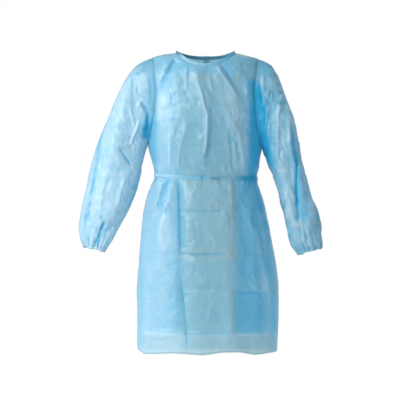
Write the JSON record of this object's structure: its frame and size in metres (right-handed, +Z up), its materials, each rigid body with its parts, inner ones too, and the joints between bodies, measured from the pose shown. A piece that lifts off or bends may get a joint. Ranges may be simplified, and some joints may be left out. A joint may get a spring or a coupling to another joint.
{
  "type": "isolation gown",
  "caption": "Long-sleeved light blue non-woven isolation gown in its worn shape, with a bound round neck, a belt tied at the back and gathered cuffs.",
  "frame": {"origin": "midway between the two neck points, at their height, where the wearer's shoulders hold the gown", "axes": "+Z up, -Y to the gown's front, +X to the right of someone who looks at its front"},
  "size_m": [0.9262, 0.3795, 1.1513],
  "materials": {
    "cloth": "light blue translucent non-woven polypropylene, matt with a soft sheen",
    "trim": "light blue non-woven polypropylene strip, folded"
  },
  "bodies": {
    "root": {"front_panel": "cloth", "back_panel_left": "cloth", "back_panel_right": "cloth", "sleeve_left": "cloth", "sleeve_right": "cloth", "cuff_left": "trim", "cuff_right": "trim", "neck_binding": "trim", "neck_knot": "trim", "neck_tie_end_left": "trim", "neck_tie_end_right": "trim", "belt": "trim", "belt_knot": "trim", "belt_end_left": "trim", "belt_end_right": "trim"}
  },
  "joints": []
}
